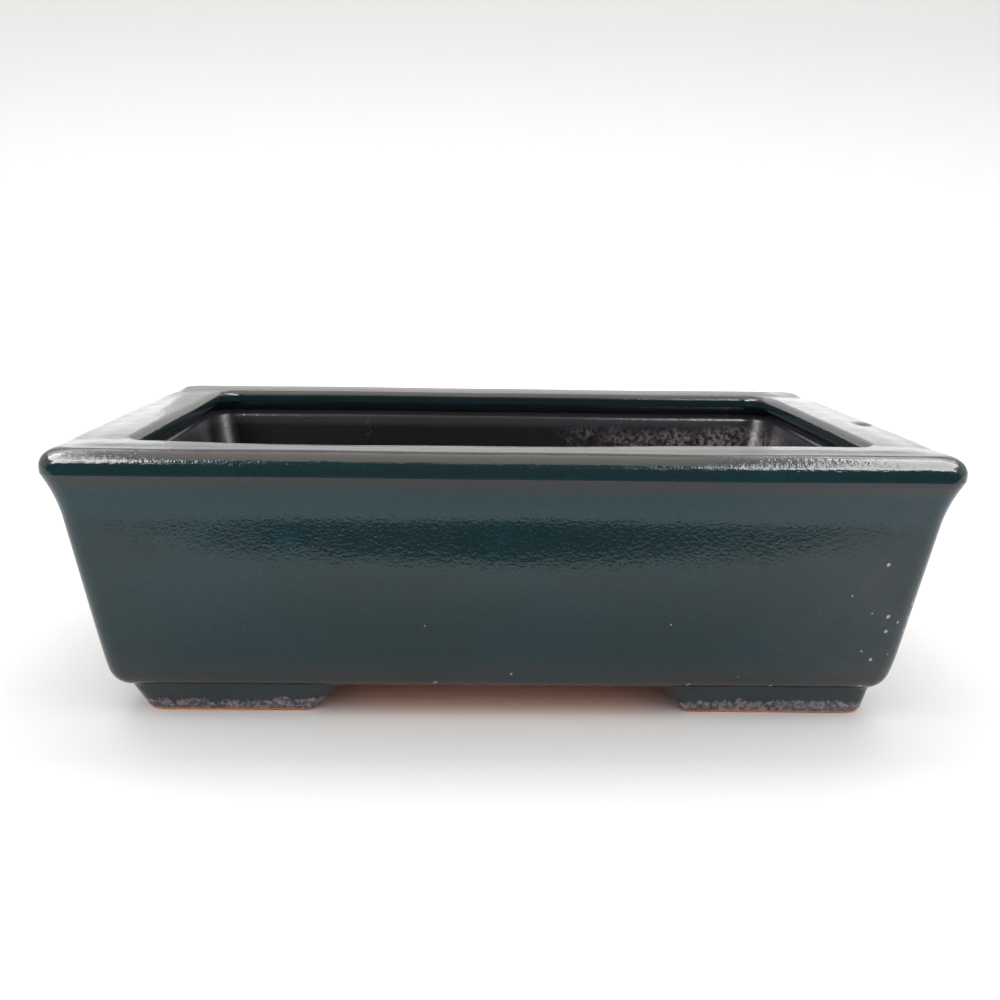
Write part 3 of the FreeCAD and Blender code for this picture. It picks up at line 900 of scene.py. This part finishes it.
def floor_clay():
    """Bare clay below, and the dark wash on the upper face."""
    nodes = Nodes("floor_clay")
    washed = nodes.ramp(nodes.z, FLOOR_TOP - 1.2, FLOOR_TOP - 0.4)
    colour = nodes.mix(washed, clay_colour(nodes), wash_colour(nodes))
    roughness = nodes.ramp(washed, 0.0, 1.0, 0.88, 0.38)
    grain = nodes.bump(nodes.noise(0.6, 5, 0.7), 0.06)
    return nodes.surface(colour, roughness, grain, 1.5)


# ---------------------------------------------------------------------------------------------------
# Stage, light and camera, in metres
# ---------------------------------------------------------------------------------------------------
WHITE = (1, 1, 1)
LEVEL = (0, 0, 0)

# The camera stands close to the pot, a little above its rim, and looks slightly down
CAMERA_LENS = 50.86
CAMERA_PLACE = (-0.00753, -0.28144, 0.07665)
CAMERA_PITCH = math.radians(9.6)
CAMERA_YAW = math.radians(1.66)
CAMERA_ROLL = math.radians(0.81)


def make_floor():
    """A pale floor that sweeps up behind the pot, greyed by painted shade higher up the sweep."""
    radius, reach, near, half, top = 0.5, 1.1, -1.6, 3.0, 2.5
    line = [(near, 0.0), (-0.4, 0.0), (0.0, 0.0), (0.4, 0.0), (reach, 0.0)]
    line += [(reach + radius * math.sin(a), radius * (1 - math.cos(a))) for a in turn(6, 90, 15)]
    line.append((reach + radius, top))
    vertices = [(side * half / MM, y / MM, z / MM) for y, z in line for side in (-1, 1)]
    faces = [[2 * n, 2 * n + 1, 2 * n + 3, 2 * n + 2] for n in range(len(line) - 1)]
    floor = mesh_object("studio_floor", vertices, faces, None)
    nodes = Nodes("studio_paper")
    tint = nodes.mix(nodes.noise(60, 2), (0.86, 0.855, 0.85), (0.89, 0.885, 0.88))
    # Painted shade: the paper greys higher up the sweep.
    tint = nodes.mix(nodes.ramp(nodes.z, 60, 520), tint, (0.70, 0.70, 0.70))
    grain = nodes.bump(nodes.noise(1.2, 3), 0.02)
    floor.data.materials.append(nodes.surface(tint, 0.85, grain, 1.3))


def emission(name, colour, strength):
    """A material that only glows."""
    material = bpy.data.materials.new(name)
    material.use_nodes = True
    tree = material.node_tree
    tree.nodes.clear()
    shader = tree.nodes.new("ShaderNodeEmission")
    shader.inputs["Color"].default_value = (*colour, 1)
    shader.inputs["Strength"].default_value = strength
    output = tree.nodes.new("ShaderNodeOutputMaterial")
    tree.links.new(shader.outputs[0], output.inputs["Surface"])
    return material


def facing(azimuth):
    """Rotation of an upright card whose face is turned to azimuth degrees from -Y, towards +X."""
    return (math.pi / 2, 0, math.radians(azimuth))


def card(name, centre, size, rotation, colour, strength):
    """A flat card that shows only in reflections, where it glows, or darkens them if its strength is 0."""
    half_x, half_y = size[0] / 2 / MM, size[1] / 2 / MM
    vertices = [(-half_x, -half_y, 0), (half_x, -half_y, 0), (half_x, half_y, 0), (-half_x, half_y, 0)]
    piece = mesh_object(name, vertices, [[0, 1, 2, 3]], None)
    piece.location = centre
    piece.rotation_euler = rotation
    piece.data.materials.append(emission(name, colour, strength))
    piece.visible_camera = False
    piece.visible_shadow = False
    piece.visible_diffuse = False


def area_light(name, size, energy, location, rotation):
    """A soft light that doesn't show in reflections."""
    light = bpy.data.lights.new(name, "AREA")
    light.shape = "RECTANGLE"
    light.size, light.size_y = size
    light.energy = energy
    lamp = bpy.data.objects.new(name, light)
    lamp.location = location
    lamp.rotation_euler = rotation
    lamp.visible_glossy = False
    bpy.context.scene.collection.objects.link(lamp)


def make_world():
    """Even white light from all round."""
    world = bpy.data.worlds.new("studio_world")
    bpy.context.scene.world = world
    world.use_nodes = True
    background = world.node_tree.nodes["Background"]
    background.inputs["Color"].default_value = (1.0, 0.995, 0.985, 1)
    background.inputs["Strength"].default_value = 1.05


def make_lights():
    """A light behind and above the pot and one on each side."""
    area_light("overhead", (1.6, 1.0), 9.0, (0.0, 0.65, 0.95), (math.radians(-32), 0, 0))
    for side in (-1, 1):
        rotation = (math.radians(75), 0, side * math.radians(90))
        area_light("side", (0.9, 0.5), 1.2, (side * 0.95, 0.10, 0.30), rotation)


def make_cards():
    """What the glaze reflects: a dark room in front, its ceiling, two windows with sills, and the back."""
    dark = (0.5, 0.45, 0.4)
    card("dark_floor_card", (0, -0.518, 0.0012), (2.4, 0.8), LEVEL, WHITE, 0.0)
    card("dark_low_card", (0, -0.62, 0.165), (2.4, 0.35), facing(0), dark, 0.03)
    card("dark_front_card", (-0.03, -0.62, 0.36), (0.34, 0.50), facing(0), dark, 0.03)
    card("brown_ceiling_card", (-0.04, -0.1, 0.9), (0.52, 1.3), LEVEL, (1.0, 0.93, 0.80), 2.5)
    card("left_ceiling_card", (-0.68, -0.2, 0.9), (0.70, 1.1), LEVEL, WHITE, 16.0)
    card("right_ceiling_card", (0.63, -0.2, 0.9), (0.70, 1.1), LEVEL, WHITE, 13.5)
    card("left_rear_card", (-0.68, 0.65, 0.9), (0.70, 0.6), LEVEL, WHITE, 4.0)
    card("right_rear_card", (0.63, 0.65, 0.9), (0.70, 0.6), LEVEL, WHITE, 4.0)
    card("left_sill_card", (-0.23, -0.60, 0.35), (0.20, 0.025), facing(0), WHITE, 7.0)
    card("right_sill_card", (0.20, -0.60, 0.35), (0.24, 0.025), facing(0), WHITE, 7.0)
    card("left_window_card", (-0.47, -0.66, 0.60), (0.46, 0.52), facing(-34), WHITE, 20.0)
    card("right_window_card", (0.47, -0.70, 0.60), (0.54, 0.52), facing(31), WHITE, 16.0)
    card("back_card", (0, 1.0, 0.11), (0.55, 0.20), facing(0), (1, 1, 0.98), 0.78)
    card("left_back_card", (-0.775, 1.0, 0.11), (1.0, 0.20), facing(0), (1, 1, 0.99), 1.50)
    card("right_back_card", (0.775, 1.0, 0.11), (1.0, 0.20), facing(0), (1, 1, 0.99), 1.45)


def make_camera():
    """The camera, from its place, its lens and the three turns of its view."""
    view = bpy.data.cameras.new("camera")
    view.sensor_width = 36.0
    view.lens = CAMERA_LENS
    view.clip_start = 0.01
    camera = bpy.data.objects.new("camera", view)
    ahead = math.cos(CAMERA_PITCH)
    forward = np.array([math.sin(CAMERA_YAW) * ahead, math.cos(CAMERA_YAW) * ahead, -math.sin(CAMERA_PITCH)])
    level_right = np.array([math.cos(CAMERA_YAW), -math.sin(CAMERA_YAW), 0.0])
    level_up = np.cross(level_right, forward)
    right = math.cos(CAMERA_ROLL) * level_right + math.sin(CAMERA_ROLL) * level_up
    up = -math.sin(CAMERA_ROLL) * level_right + math.cos(CAMERA_ROLL) * level_up
    axes = zip(right, up, -forward, CAMERA_PLACE)
    camera.matrix_world = Matrix([*axes, (0, 0, 0, 1)])
    bpy.context.scene.collection.objects.link(camera)
    bpy.context.scene.camera = camera


make_camera()
make_world()
make_lights()
make_cards()
make_floor()
bpy.context.scene.view_settings.view_transform = "Standard"

make_sides("wall", wall_section(), True, wall_glaze())
make_sides("rim", rim_section(), False, rim_glaze())
make_coil(inner_wash())
glaze_of_feet = foot_glaze()
for corner, signs in CORNERS.items():
    make_foot(corner, signs, glaze_of_feet)
clay_of_floor = floor_clay()
for material_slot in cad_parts["floor_slab"].material_slots:
    material_slot.material = clay_of_floor
